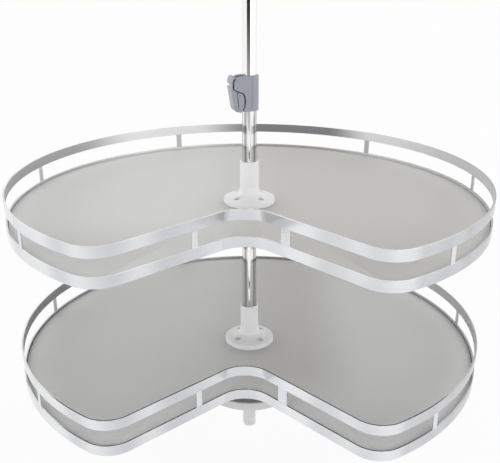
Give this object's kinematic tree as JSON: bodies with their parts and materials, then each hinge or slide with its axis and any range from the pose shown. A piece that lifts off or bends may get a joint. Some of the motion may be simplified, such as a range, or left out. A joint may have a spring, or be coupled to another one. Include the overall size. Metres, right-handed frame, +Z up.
{
  "type": "corner carousel",
  "caption": "Three-quarter-round corner cupboard carousel: railed textured trays on a telescopic chrome pole with flanged hubs, quick-release clamp, floor disc and ceiling plate.",
  "frame": {"origin": "middle of the flat end of the foot pin, on the pole's axis", "axes": "+Z up along the pole; -Y through the middle of the notch, towards the room; +X to the right seen from the room"},
  "size_m": [0.8494, 0.7841, 0.839],
  "materials": {
    "rail": "satin-bright chrome plate on flat steel strip",
    "pole_chrome": "polished chrome plate on steel tube",
    "tray_mat": "grey woven-textured anti-slip surface",
    "tray_board": "grey melamine-faced board",
    "white_plastic": "semi-gloss white moulding",
    "grey_plastic": "satin blue-grey moulding",
    "zinc_steel": "bright zinc plate"
  },
  "bodies": {
    "foot": {"floor_bearing": "white_plastic", "thrust_washer": "white_plastic"},
    "pole": {"pole_foot_plug": "grey_plastic", "lower_pole_tube": "pole_chrome", "inner_pole_tube": "zinc_steel"},
    "lower_tray": {"lower_tray_board": "tray_board", "lower_tray_mat": "tray_mat", "lower_rail_lower_band": "rail", "lower_rail_upper_band": "rail", "lower_rail_post_1": "rail", "lower_rail_post_2": "rail", "lower_rail_post_3": "rail", "lower_rail_post_4": "rail", "lower_rail_post_5": "rail", "lower_rail_post_6": "rail", "lower_rail_post_7": "rail", "lower_rail_post_8": "rail", "lower_hub": "white_plastic", "lower_hub_backing_plate": "zinc_steel", "lower_hub_screw_1": "white_plastic", "lower_hub_screw_2": "white_plastic", "lower_hub_screw_3": "white_plastic", "lower_hub_screw_4": "white_plastic", "lower_hub_set_screw": "zinc_steel"},
    "upper_tray": {"upper_tray_board": "tray_board", "upper_tray_mat": "tray_mat", "upper_rail_lower_band": "rail", "upper_rail_upper_band": "rail", "upper_rail_post_1": "rail", "upper_rail_post_2": "rail", "upper_rail_post_3": "rail", "upper_rail_post_4": "rail", "upper_rail_post_5": "rail", "upper_rail_post_6": "rail", "upper_rail_post_7": "rail", "upper_rail_post_8": "rail", "upper_hub": "white_plastic", "upper_hub_backing_plate": "zinc_steel", "upper_hub_screw_1": "white_plastic", "upper_hub_screw_2": "white_plastic", "upper_hub_screw_3": "white_plastic", "upper_hub_screw_4": "white_plastic", "upper_hub_set_screw": "zinc_steel"},
    "pole_top": {"upper_pole_tube": "pole_chrome", "pole_top_plug": "grey_plastic", "clamp_body": "grey_plastic", "clamp_lever_pin": "zinc_steel"},
    "lever": {"clamp_lever": "grey_plastic"},
    "top_bearing": {"ceiling_plate": "white_plastic"}
  },
  "joints": [
    {"name": "carousel_spin", "type": "hinge", "parent": "foot", "child": "pole", "pos_m": [0, 0, 0.11], "axis": [0, 0, 1], "continuous": true},
    {"name": "lower_tray_height", "type": "slide", "parent": "pole", "child": "lower_tray", "axis": [0, 0, 1], "range_m": [-0.05, 0.05]},
    {"name": "upper_tray_height", "type": "slide", "parent": "pole", "child": "upper_tray", "axis": [0, 0, 1], "range_m": [-0.05, 0.05]},
    {"name": "pole_extension", "type": "slide", "parent": "pole", "child": "pole_top", "axis": [0, 0, 1], "range_m": [0, 0.1]},
    {"name": "clamp_lever_swing", "type": "hinge", "parent": "pole_top", "child": "lever", "pos_m": [-0.0196, -0.00599, 0.6905], "axis": [-0.2924, 0.9563, 0], "range_deg": [0, 70]},
    {"name": "ceiling_plate_turn", "type": "hinge", "parent": "pole_top", "child": "top_bearing", "pos_m": [0, 0, 0.83], "axis": [0, 0, 1], "continuous": true}
  ],
  "couplings": [
    {"joint": "ceiling_plate_turn", "follows": "carousel_spin", "ratio": -1}
  ]
}
